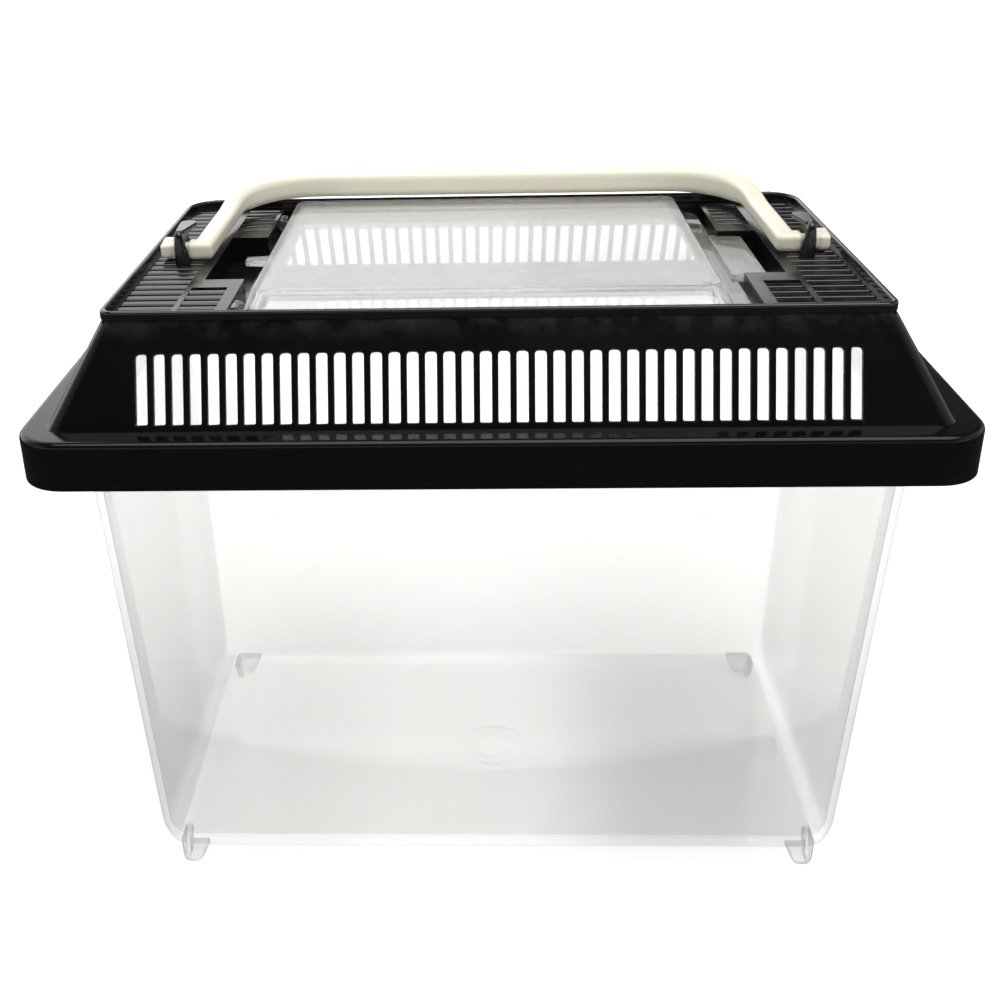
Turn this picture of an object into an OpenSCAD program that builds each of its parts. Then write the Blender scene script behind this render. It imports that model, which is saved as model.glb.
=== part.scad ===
// Small animal keeper: a clear tapered tank, a black ventilated lid,
// a clear hatch hinged in the lid and a bail handle pivoting on two lugs.
// Millimetres, +Z up, origin at the centre of the footprint on the floor plane.

/* [Tank] */
// outer length of the tank just under the lid skirt
tank_top_x = 209.0; // [120:0.1:320]
// outer width of the tank just under the lid skirt
tank_top_y = 127.5; // [70:0.1:220]
// outer length of the tank at its floor
tank_bot_x = 201.7; // [110:0.1:310]
// outer width of the tank at its floor
tank_bot_y = 108.2; // [60:0.1:210]
// outer radius of the upright corners
tank_corner_r = 6.5; // [3:0.5:15]
// wall thickness of the tank
tank_wall = 2.0; // [1.2:0.1:4]
// thickness of the tank floor
floor_t = 2.2; // [1.5:0.1:5]
// height of the corner feet
foot_h = 7.0; // [2:0.1:12]
// how far the end walls curve in to meet the floor
end_round = 5.4; // [1:0.1:12]
// top of the tank flange
tank_top_z = 148.3; // [90:0.1:260]
// outer length of the tank flange
lip_x = 229.4; // [130:0.1:340]
// outer width of the tank flange
lip_y = 151.2; // [80:0.1:240]

/* [Lid] */
// outer length of the lid skirt
lid_x = 235; // [130:0.5:340]
// outer width of the lid skirt
lid_y = 156.8; // [80:0.1:240]
// plan radius of the skirt corners
lid_r = 12; // [4:0.5:25]
// underside of the skirt
skirt_z0 = 137.7; // [80:0.1:250]
// top of the ledge around the grille
ledge_z = 150.4; // [90:0.1:260]
// length of the sloped grille at its foot
grille_bot_x = 220.6; // [120:0.1:320]
// width of the sloped grille at its foot
grille_bot_y = 142.4; // [70:0.1:220]
// length of the sloped grille at its top
grille_top_x = 193.6; // [110:0.1:300]
// distance of the sloped grille's top in front of the centre
grille_top_yf = 57.7; // [30:0.1:100]
// distance of the sloped grille's top behind the centre
grille_top_yb = 61.85; // [30:0.1:100]
// plan radius of the rear corners of the rim
rim_rear_r = 10; // [3:0.5:20]
// level of the slatted top panel
panel_z = 174.2; // [100:0.1:280]
// top of the raised rim
rim_z = 176.7; // [102:0.1:284]
// number of upright slots in each long grille
slots = 40; // [10:1:60]
// spacing of the slots
slot_pitch = 4.418; // [3:0.001:8]
// shift of the row of slots along x
slot_shift = 0.12; // [-2:0.01:2]
// width of one slot
slot_w = 2.85; // [1:0.05:5]
// gap between two slats
slat_gap = 2.25; // [1:0.05:5]
// floor level of the finger wells
well_z = 167.2; // [164:0.1:172]

/* [Hatch] */
// left edge of the hatch
hatch_x0 = -63.5; // [-90:0.1:-20]
// right edge of the hatch flange
hatch_x1 = 65; // [20:0.1:90]
// half width of the hatch
hatch_hy = 55.4; // [20:0.1:90]
// radius of the right corners of the hatch flange
hatch_r = 7; // [1:0.5:12]
// level of the raised hatch panel
hatch_top_z = 178.7; // [170:0.1:190]
// wall thickness of the hatch
hatch_t = 1.7; // [1:0.1:3]
// hinge line, x
hinge_x = -65.2; // [-90:0.1:-20]
// hinge line, z
hinge_z = 173.2; // [170:0.1:180]
// radius of the hinge pins
pin_r = 0.85; // [0.5:0.05:1.2]
// clearance round the hinge pins
pin_gap = 0.06; // [0.02:0.01:0.2]

/* [Handle] */
// pivot line, y
pivot_y = -1.8; // [-20:0.1:20]
// pivot line, z
pivot_z = 177.4; // [170:0.1:190]
// reach of the bail from its pivot to the back of the grip
bail_reach = 67.2; // [40:0.1:90]
// outer half span of the bail at the pivot
bail_half = 84.9; // [50:0.1:110]
// width of the bail seen from above
bail_w = 6.9; // [4:0.1:12]
// resting tilt of the bail
bail_tilt = 3; // [0:0.5:10]
// radius of the necks in the lugs
neck_r = 1.9; // [1.2:0.05:3]
// lug bore clearance on the radius
neck_gap = 0.06; // [0.02:0.01:0.1]

/* [Hidden] */
tank_h = tank_top_z - foot_h;
k_x = (tank_top_x - tank_bot_x) / 2 / (skirt_z0 - foot_h);
k_y = (tank_top_y - tank_bot_y) / 2 / (skirt_z0 - foot_h);
inner_r = tank_corner_r - tank_wall;
slope = atan2(panel_z + 0.2 - 150.7, grille_bot_y / 2 - grille_top_yf);
slope_b = atan2(panel_z + 0.2 - 150.7, grille_bot_y / 2 - grille_top_yb);
slope_len = 27.3;

// rounded rectangle, exact arcs
module rrect(x, y, r) {
  square([x - 2 * r, y], center = true);
  square([x, y - 2 * r], center = true);
  for (sx = [-1, 1], sy = [-1, 1])
    translate([sx * (x / 2 - r), sy * (y / 2 - r)]) circle(r = r, $fn = 32);
}

// rounded rectangle from y = -yf to y = yb with its own radius at the rear
module rrect_fb(x, yf, yb, rf, rb) {
  translate([-x / 2, rf - yf]) square([x, yf + yb - rf - rb]);
  translate([-x / 2 + rf, -yf]) square([x - 2 * rf, 2 * rf]);
  translate([-x / 2 + rb, yb - 2 * rb]) square([x - 2 * rb, 2 * rb]);
  for (s = [-1, 1]) {
    translate([s * (x / 2 - rf), rf - yf]) circle(r = rf, $fn = 32);
    translate([s * (x / 2 - rb), yb - rb]) circle(r = rb, $fn = 48);
  }
}

// sloped walls of the grille as a solid, [x, yf, yb, rf, rb, z] at its foot and top
module slope_box(a, b) {
  hull() for (q = [a, b], s = [-1, 1]) {
    translate([s * (q[0] / 2 - q[3]), q[3] - q[1], q[5]]) cylinder(r = q[3], h = 0.01, $fn = 32);
    translate([s * (q[0] / 2 - q[4]), q[2] - q[4], q[5]]) cylinder(r = q[4], h = 0.01, $fn = 40);
  }
}

// tapered box with rounded upright corners
module taper(x0, y0, r0, z0, x1, y1, r1, z1) {
  hull() {
    for (sx = [-1, 1], sy = [-1, 1]) {
      translate([sx * (x0 / 2 - r0), sy * (y0 / 2 - r0), z0])
        cylinder(r = r0, h = 0.01, $fn = 32);
      translate([sx * (x1 / 2 - r1), sy * (y1 / 2 - r1), z1 - 0.01])
        cylinder(r = r1, h = 0.01, $fn = 32);
    }
  }
}

// convex body through rounded rectangles [half x, half y, corner radius, z]
module stack(levels) {
  hull() for (l = levels, sx = [-1, 1], sy = [-1, 1])
    translate([sx * (l[0] - l[2]), sy * (l[1] - l[2]), l[3]]) cylinder(r = l[2], h = 0.01, $fn = 24);
}

// ---------------------------------------------------------------- tank

module foot() {
  // L-shaped ridge under one corner, its legs shortening towards the floor
  for (a = [0, 1]) mirror([a, -a, 0])
    rotate([90, 0, 0]) linear_extrude(2.4)
      polygon([[-5.1, 0], [-6.4, 1.2], [-8.8, foot_h + 0.8], [-2.4, foot_h + 0.8], [-2.4, 0]]);
  translate([-2.4, -2.4, 0]) cylinder(r = 2.4, h = foot_h + 0.8, $fn = 32);
}

module foot_at(sx, sy) {
  mirror([sx < 0 ? 1 : 0, 0, 0]) mirror([0, sy < 0 ? 1 : 0, 0])
    translate([tank_bot_x / 2 - end_round + 0.15, tank_bot_y / 2 - 0.8, 0]) foot();
}

// half length and half width of the tank outside, z above its underside
function wx(z) = tank_bot_x / 2 + k_x * z;
function wy(z) = tank_bot_y / 2 + k_y * z;

module tank() {
  color([0.93, 0.95, 0.95, 0.4]) {
    difference() {
      union() {
        stack([
          [wx(0) - end_round, wy(0) - 0.8, tank_corner_r - 1.5, foot_h],
          [wx(0.8) - 0.565 * end_round, wy(0.8) - 0.3, tank_corner_r - 0.8, foot_h + 0.8],
          [wx(2) - 0.34 * end_round, wy(2), tank_corner_r - 0.4, foot_h + 2],
          [wx(4) - 0.13 * end_round, wy(4), tank_corner_r, foot_h + 4],
          [wx(8), wy(8), tank_corner_r, foot_h + 8],
          [wx(tank_h - 0.01), wy(tank_h - 0.01), tank_corner_r, tank_top_z - 0.01]
        ]);
        // flange that carries the lid, with a turned-down edge
        translate([0, 0, tank_top_z - 1.9]) linear_extrude(1.9) rrect(lip_x, lip_y, 9.5);
        translate([0, 0, tank_top_z - 5.4]) linear_extrude(4) difference() {
          rrect(lip_x, lip_y, 9.5);
          rrect(lip_x - 3.4, lip_y - 3.4, 7.8);
        }
      }
      stack([
        [wx(floor_t) - tank_wall - 0.65 * end_round, wy(floor_t) - tank_wall - 0.9, inner_r, foot_h + floor_t],
        [wx(floor_t + 1) - tank_wall - 0.36 * end_round, wy(floor_t + 1) - tank_wall - 0.2, inner_r, foot_h + floor_t + 1],
        [wx(floor_t + 3) - tank_wall - 0.12 * end_round, wy(floor_t + 3) - tank_wall, inner_r, foot_h + floor_t + 3],
        [wx(floor_t + 6) - tank_wall, wy(floor_t + 6) - tank_wall, inner_r, foot_h + floor_t + 6],
        [wx(tank_h + 1) - tank_wall, wy(tank_h + 1) - tank_wall, inner_r, tank_top_z + 1]
      ]);
    }
    // two low concentric rings moulded near the centre of the floor
    translate([0, -6.5, foot_h + floor_t - 0.2]) for (r = [6.1, 9.9]) difference() {
      cylinder(r = r + 0.7, h = 0.6, $fn = 64);
      translate([0, 0, -1]) cylinder(r = r, h = 3, $fn = 64);
    }
    for (sx = [-1, 1], sy = [-1, 1]) foot_at(sx, sy);
  }
}

// ---------------------------------------------------------------- lid

module slot_cut(x, a) {
  // one upright slot through the front grille of slope a, rounded at its top
  // and leaning slightly outwards towards the ends of the row
  translate([x, -grille_bot_y / 2, 150.7]) rotate([a, 0, 0])
    translate([0, 1.5, -2.6]) rotate([0, 0, -0.0203 * x]) linear_extrude(3.6) {
      translate([-slot_w / 2, 0]) square([slot_w, 16.6]);
      translate([-slot_w / 2 + 0.9, 0]) square([slot_w - 1.8, 17.5]);
      for (s = [-1, 1]) translate([s * (slot_w / 2 - 0.9), 16.6]) circle(r = 0.9, $fn = 16);
    }
}

module slat_cuts(x0, x1, y0, y1, n) {
  // n gaps running along x, spread between y0 and y1
  for (i = [0:n - 1])
    translate([x0, y0 + (i + 0.5) * (y1 - y0) / n - slat_gap / 2, panel_z - 3])
      cube([x1 - x0, slat_gap, 4]);
}

module lug_side() {
  // outline of the lug seen from the side
  polygon([[-7, panel_z - 1], [-6.7, panel_z + 1.6], [-6.1, 180.6], [-5.6, 181.9], [-4.7, 182.8],
           [3.4, 182.8], [3.4, 181.4], [2.9, panel_z + 1], [3.4, panel_z - 1]]);
}

module lug() {
  // pivot lug on the right side: upright web with an eye, a rib down its front
  // that widens towards the panel, and a tongue on top
  difference() {
    union() {
      translate([86.2, 0, 0]) rotate([90, 0, 90]) linear_extrude(2.5) lug_side();
      intersection() {
        translate([84, 0, 0]) rotate([90, 0, 90]) linear_extrude(5) lug_side();
        translate([0, -5.4, 0]) rotate([90, 0, 0]) linear_extrude(3)
          polygon([[88.7, panel_z - 1], [84.6, panel_z - 1], [84.6, panel_z + 0.3], [86.1, 181.6], [86.3, 183], [88.7, 183]]);
      }
      translate([0, 0, 181.5]) linear_extrude(1.5) {
        polygon([[86.3, -5], [88.6, -5], [88.9, 6.4], [84.3, 6.4]]);
        translate([87.45, -4.9]) circle(r = 1.15, $fn = 24);
        translate([86.6, 6.4]) circle(r = 2.3, $fn = 32);
      }
    }
    translate([80, pivot_y, pivot_z]) rotate([0, 90, 0]) cylinder(r = neck_r + neck_gap, h = 12, $fn = 48);
  }
}

module knuckle(y0, y1) {
  // hinge socket on the left edge of the hatch opening
  difference() {
    union() {
      translate([hinge_x, y0, hinge_z]) rotate([-90, 0, 0]) cylinder(r = 1.6, h = y1 - y0, $fn = 32);
      translate([hinge_x - 1.6, y0, 168.8]) cube([2.5, y1 - y0, hinge_z - 168.8]);
    }
    translate([hinge_x, y0 - 1, hinge_z]) rotate([-90, 0, 0]) cylinder(r = pin_r + pin_gap, h = y1 - y0 + 2, $fn = 32);
  }
}

module well(s) {
  // blind pocket beside the hatch, where a finger goes under its edge; it hangs
  // under the panel and under the ring that carries the hatch
  color([0.04, 0.045, 0.045]) difference() {
    union() {
      translate([s < 0 ? -78.7 : 64.8, -23.2, well_z - 1.4]) cube([13.9, 46.4, panel_z - 2.2 - well_z + 1.4]);
      if (s < 0) translate([-66, -3.3, well_z - 1.4]) cube([5, 10.8, 3]);
    }
    translate([s < 0 ? -77.5 : 66, -22, well_z]) cube([11.5, 44, 20]);
    translate([-68.4, -58.4, 168.8]) cube([136.8, 116.8, 5.4]);
    if (s < 0) translate([-67, -2.1, well_z]) cube([4.8, 8.4, 20]);
  }
}

module well_left() { well(-1); }
module well_right() { well(1); }

module panel_plan() {
  // outline of the panel, which fills the inside of the rim
  rrect_fb(grille_top_x - 2.1, grille_top_yf - 1.05, grille_top_yb - 1.05, 2.2, rim_rear_r - 1.5);
}

module lid() {
  color([0.04, 0.045, 0.045]) difference() {
    union() {
      // skirt and ledge
      translate([0, 0, skirt_z0]) linear_extrude(ledge_z - 1 - skirt_z0) rrect(lid_x, lid_y, lid_r);
      taper(lid_x, lid_y, lid_r, ledge_z - 1.01, lid_x - 2, lid_y - 2, lid_r - 1, ledge_z);
      // sloped grille
      slope_box([grille_bot_x + 0.34, grille_bot_y / 2 + 0.17, grille_bot_y / 2 + 0.12, 4, 7, ledge_z - 0.1],
                [grille_top_x, grille_top_yf, grille_top_yb, 3, rim_rear_r - 0.5, panel_z + 0.2]);
      // raised rim
      translate([0, 0, panel_z + 0.2]) linear_extrude(rim_z - panel_z - 0.2)
        rrect_fb(grille_top_x + 0.9, grille_top_yf + 0.45, grille_top_yb + 0.45, 3.4, rim_rear_r);
    }
    // inside of the rim, with the place of the panel
    translate([0, 0, panel_z - 2.2]) linear_extrude(8) panel_plan();
    // hollow below
    translate([0, 0, skirt_z0 - 1]) linear_extrude(148.6 - skirt_z0 + 1) rrect(lid_x - 4, lid_y - 4, lid_r - 2);
    slope_box([grille_bot_x - 1.75, grille_bot_y / 2 - 0.87, grille_bot_y / 2 - 1.16, 3, 5.4, 148.5],
              [grille_top_x - 1.64, grille_top_yf - 0.82, grille_top_yb - 1.09, 2, rim_rear_r - 1.9, panel_z - 2.15]);
    // upright slots, front and back
    for (i = [0:slots - 1]) {
      x = (i - (slots - 1) / 2) * slot_pitch + slot_shift;
      slot_cut(x, slope);
      mirror([0, 1, 0]) slot_cut(x, slope_b);
    }
  }
}

module lid_panel() {
  color([0.04, 0.045, 0.045]) {
    difference() {
      union() {
        translate([0, 0, panel_z - 2.2]) linear_extrude(2.2) panel_plan();
        // ring that carries the hatch
        translate([-68.4, 1.05 - grille_top_yf, 168.8]) cube([136.8, grille_top_yf - 1.05 + 58.4, 5.4]);
      }
      // hatch pocket, opening and finger wells
      translate([-66.8, -56.2, 170.4]) cube([133.4, 112.4, 8]);
      translate([-60, -52, 160]) cube([120, 104, 20]);
      for (s = [-1, 1]) translate([s < 0 ? -77.5 : 66, -22, 160]) cube([11.5, 44, 20]);
      // room for the stop tab of the hatch when it swings down
      translate([-67, -2.1, 160]) cube([4.8, 8.4, 20]);
      // slats of the outer panels
      for (s = [-1, 1]) {
        intersection() {
          slat_cuts(s < 0 ? -95 : 81, s < 0 ? -81 : 95, -56.4, 62, 25);
          translate([0, 0, panel_z - 5]) linear_extrude(8) rrect_fb(190, 56.4, 60.6, 1.5, 8);
        }
        slat_cuts(s < 0 ? -79.5 : 70, s < 0 ? -70 : 79.5, -56.4, -28.2, 6);
        slat_cuts(s < 0 ? -77.6 : 67.9, s < 0 ? -67.9 : 77.6, 29.05, 60.65, 7);
      }
    }
    knuckle(-49.4, -45);
    knuckle(43, 47.4);
    lug();
    mirror([1, 0, 0]) lug();
  }
}

// ---------------------------------------------------------------- hatch

module dome(x0, x1, y0, y1, z0, ix, iy, z1) {
  // raised panel with sloped sides, made from two crossed trapezoids
  intersection() {
    translate([0, y1, 0]) rotate([90, 0, 0]) linear_extrude(y1 - y0)
      polygon([[x0, z0], [x0 + ix, z1], [x1 - ix, z1], [x1, z0]]);
    translate([x0, 0, 0]) rotate([90, 0, 90]) linear_extrude(x1 - x0)
      polygon([[y0, z0], [y0 + iy, z1], [y1 - iy, z1], [y1, z0]]);
  }
}

module hinge_arm(y0, y1, yp) {
  // barrel beside a lid knuckle, with the pin that enters it
  translate([hinge_x, y0, hinge_z]) rotate([-90, 0, 0]) cylinder(r = 1.5, h = y1 - y0, $fn = 32);
  translate([hinge_x, y0, 170.9]) cube([3.4, y1 - y0, hinge_z + 0.6 - 170.9]);
  translate([hinge_x, min(y0, yp), hinge_z]) rotate([-90, 0, 0])
    cylinder(r = pin_r, h = max(y1, yp) - min(y0, yp), $fn = 32);
}

module hatch() {
  color([0.85, 0.86, 0.86, 0.45]) {
    difference() {
      union() {
        translate([0, 0, 170.8]) linear_extrude(1.6) {
          translate([hatch_x0, -hatch_hy]) square([hatch_x1 - hatch_x0 - hatch_r, 2 * hatch_hy]);
          translate([hatch_x0, hatch_r - hatch_hy]) square([hatch_x1 - hatch_x0, 2 * hatch_hy - 2 * hatch_r]);
          for (s = [-1, 1]) translate([hatch_x1 - hatch_r, s * (hatch_hy - hatch_r)]) circle(r = hatch_r, $fn = 48);
        }
        dome(hatch_x0, 59.5, -54.4, 54.4, 172.3, 3, 5.6, hatch_top_z);
        // finger tab and stop tab
        translate([64, -21, 171.5]) cube([9, 41, 1.9]);
        translate([72.5, -20, 171.5]) cube([1.5, 39, 1.9]);
        translate([-70.4, -0.5, 171.6]) cube([7.6, 5.2, 1.5]);
      }
      dome(hatch_x0 + 1.9, 59.5 - 1.9, -54.4 + 2.1, 54.4 - 2.1, 170.7, 2.6, 5.4, hatch_top_z - hatch_t);
    }
    hinge_arm(-44.7, -42.4, -48.8);
    hinge_arm(40.4, 42.7, 46.8);
  }
}

// ---------------------------------------------------------------- handle

module bail_plan(hw, reach, r) {
  // outline of the bail, as seen from above, filled
  a = 2.6;
  yc = reach - r;
  xc = hw - tan(a) * yc - r / cos(a);
  polygon([[-hw, 0], [-(xc + r * cos(a)), yc + r * sin(a)], [-xc, reach],
           [xc, reach], [xc + r * cos(a), yc + r * sin(a)], [hw, 0]]);
  for (s = [-1, 1]) translate([s * xc, yc]) circle(r = r, $fn = 64);
}

module side_profile() {
  // height of the bail along its reach, seen from the side
  translate([-120, 0, 0]) rotate([90, 0, 90]) linear_extrude(240)
    polygon([[-2.7, -1.1], [-1.2, -2.7], [4, -2.7], [12, -2.3], [46, -2.3], [49, -2.8], [bail_reach + 1, -2.8],
             [bail_reach + 1, 4.3], [56, 4.3], [38, 2.3], [-1.4, 2.3], [-2.7, 0.9]]);
}

module handle() {
  color([0.88, 0.86, 0.78]) translate([0, pivot_y, pivot_z]) rotate([bail_tilt, 0, 0]) {
    intersection() {
      translate([0, 0, -4]) linear_extrude(10) difference() {
        union() {
          bail_plan(bail_half - 0.8, bail_reach, 27);
          translate([-bail_half + 0.8, -3]) square([2 * bail_half - 1.6, 3.1]);
          translate([-85.9, -2.7]) square([171.8, 5.4]);
        }
        bail_plan(bail_half - bail_w + 0.4, bail_reach - 7.6, 22);
        translate([-bail_half + bail_w - 0.4, -4]) square([2 * (bail_half - bail_w + 0.4), 4.1]);
      }
      side_profile();
    }
    // necks through the lugs and the outer ends
    for (s = [-1, 1]) {
      translate([s < 0 ? -91 : 83, 0, 0]) rotate([0, 90, 0]) cylinder(r = neck_r, h = 8, $fn = 48);
      translate([s < 0 ? -93.2 : 90, 0, 0]) rotate([90, 0, 90]) linear_extrude(3.2)
        polygon([[-2.7, -1.1], [-1.2, -2.7], [4.3, -2.7], [5.3, -1.5], [5.3, 1.4], [4.5, 2.3], [-1.4, 2.3], [-2.7, 0.9]]);
      translate([s < 0 ? -90.1 : 89, 0, 0]) rotate([90, 0, 90]) linear_extrude(1.1)
        polygon([[-2.6, -1], [-1.3, -2.3], [1.3, -2.3], [2.6, -1], [2.6, 1], [1.3, 2.3], [-1.3, 2.3], [-2.6, 1]]);
    }
  }
}

tank();
lid();
lid_panel();
well_left();
well_right();
hatch();
handle();
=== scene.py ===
import math

import bmesh
import bpy
import numpy as np
from mathutils import Matrix, Vector


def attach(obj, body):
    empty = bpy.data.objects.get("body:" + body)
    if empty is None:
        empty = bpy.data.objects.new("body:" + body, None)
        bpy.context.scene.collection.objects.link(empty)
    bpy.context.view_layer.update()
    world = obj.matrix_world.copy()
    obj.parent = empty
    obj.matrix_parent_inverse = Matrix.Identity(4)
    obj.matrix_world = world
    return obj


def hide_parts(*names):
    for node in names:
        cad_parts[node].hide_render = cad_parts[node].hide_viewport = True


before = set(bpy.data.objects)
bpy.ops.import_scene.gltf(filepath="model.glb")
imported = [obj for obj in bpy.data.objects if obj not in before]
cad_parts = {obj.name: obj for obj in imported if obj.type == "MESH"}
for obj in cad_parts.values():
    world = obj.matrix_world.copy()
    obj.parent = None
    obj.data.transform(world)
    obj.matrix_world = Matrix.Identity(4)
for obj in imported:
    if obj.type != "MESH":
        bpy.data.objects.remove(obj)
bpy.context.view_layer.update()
MM = 0.001
scene = bpy.context.scene

# ------------------------------------------------------------------ camera
F_PX, PP_X = 1300.0, 430.0
CAM = Vector((-3.163, -360.907, 271.860)) * MM
PITCH, YAW, ROLL = (math.radians(a) for a in (25.811, -2.561, -1.464))
f = Vector((math.sin(YAW), math.cos(YAW), 0))
r = Vector((math.cos(YAW), -math.sin(YAW), 0))
u = Vector((0, 0, 1))
f2 = f * math.cos(PITCH) - u * math.sin(PITCH)
u2 = u * math.cos(PITCH) + f * math.sin(PITCH)
r3 = r * math.cos(ROLL) + u2 * math.sin(ROLL)
u3 = -r * math.sin(ROLL) + u2 * math.cos(ROLL)
cam_data = bpy.data.cameras.new("camera")
cam_data.sensor_width = 36.0
cam_data.lens = F_PX * 36.0 / 1000.0
cam_data.shift_x = (500.0 - PP_X) / 1000.0
cam_data.clip_start, cam_data.clip_end = 0.01, 60.0
cam = bpy.data.objects.new("camera", cam_data)
scene.collection.objects.link(cam)
m = Matrix.Identity(4)
for k in range(3):
    m[k][0], m[k][1], m[k][2], m[k][3] = r3[k], u3[k], -f2[k], CAM[k]
cam.matrix_world = m
scene.camera = cam


# --------------------------------------------------------------- materials
class Mat:
    """A material with helpers for its nodes."""

    def __init__(self, name):
        self.m = bpy.data.materials.new(name)
        self.m.use_nodes = True
        self.t = self.m.node_tree
        self.t.nodes.clear()
        self.out = self.n("ShaderNodeOutputMaterial")
        self.coord = self.n("ShaderNodeTexCoord").outputs["Object"]

    def n(self, kind, **inputs):
        node = self.t.nodes.new(kind)
        for k, v in inputs.items():
            node.inputs[k.replace("_", " ")].default_value = v
        return node

    def link(self, a, b):
        self.t.links.new(a, b)

    def noise(self, scale, detail=3.0, rough=0.5, vec=None):
        node = self.n("ShaderNodeTexNoise", Scale=scale, Detail=detail, Roughness=rough)
        self.link(vec or self.coord, node.inputs["Vector"])
        return node.outputs["Fac"]

    def ramp(self, value, lo, hi, a, b):
        node = self.n("ShaderNodeMapRange")
        node.inputs["From Min"].default_value = lo
        node.inputs["From Max"].default_value = hi
        node.inputs["To Min"].default_value = a
        node.inputs["To Max"].default_value = b
        node.clamp = True
        self.link(value, node.inputs["Value"])
        return node.outputs["Result"]

    def math(self, op, a, b=None):
        node = self.t.nodes.new("ShaderNodeMath")
        node.operation = op
        for i, v in enumerate((a, b)):
            if v is None:
                continue
            if isinstance(v, (int, float)):
                node.inputs[i].default_value = v
            else:
                self.link(v, node.inputs[i])
        return node.outputs["Value"]

    def mix(self, fac, a, b):
        node = self.t.nodes.new("ShaderNodeMix")
        node.data_type = "RGBA"
        if isinstance(fac, (int, float)):
            node.inputs["Factor"].default_value = fac
        else:
            self.link(fac, node.inputs["Factor"])
        for name, v in (("A", a), ("B", b)):
            sock = [s for s in node.inputs if s.name == name and s.type == "RGBA"][0]
            if isinstance(v, tuple):
                sock.default_value = (*v, 1.0)
            else:
                self.link(v, sock)
        return [s for s in node.outputs if s.type == "RGBA"][0]

    def bump(self, height, strength, distance, under=None):
        node = self.n("ShaderNodeBump", Strength=strength, Distance=distance)
        self.link(height, node.inputs["Height"])
        if under is not None:
            self.link(under, node.inputs["Normal"])
        return node.outputs["Normal"]


def edge_wear(mt, lo, hi):
    """0 on faces and up to 1 on sharp outer edges."""
    geo = mt.n("ShaderNodeNewGeometry")
    return mt.ramp(geo.outputs["Pointiness"], lo, hi, 0.0, 1.0)


def black_plastic(name, base=(0.0042, 0.0045, 0.0048), rough=0.13, level=0.5):
    mt = Mat(name)
    p = mt.n("ShaderNodeBsdfPrincipled", IOR=1.47)
    p.inputs["Specular IOR Level"].default_value = level
    cloud = mt.noise(38.0, 3.0)
    fine = mt.noise(1400.0, 2.0)
    wear = mt.math("MULTIPLY", edge_wear(mt, 0.52, 0.60), mt.ramp(mt.noise(160.0, 3.0), 0.42, 0.68, 0.0, 1.0))
    dark = mt.mix(cloud, tuple(c * 0.85 for c in base), tuple(c * 1.25 for c in base))
    mt.link(mt.mix(mt.math("MULTIPLY", wear, 0.35), dark, (0.035, 0.036, 0.036)), p.inputs["Base Color"])
    mt.link(mt.math("ADD", mt.ramp(cloud, 0.3, 0.7, rough - 0.03, rough + 0.05), mt.math("MULTIPLY", wear, 0.12)), p.inputs["Roughness"])
    wave = mt.bump(mt.noise(26.0, 1.0), 0.05, 0.0006)
    mt.link(mt.bump(fine, 0.03, 0.0001, wave), p.inputs["Normal"])
    mt.link(p.outputs["BSDF"], mt.out.inputs["Surface"])
    return mt.m


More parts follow.
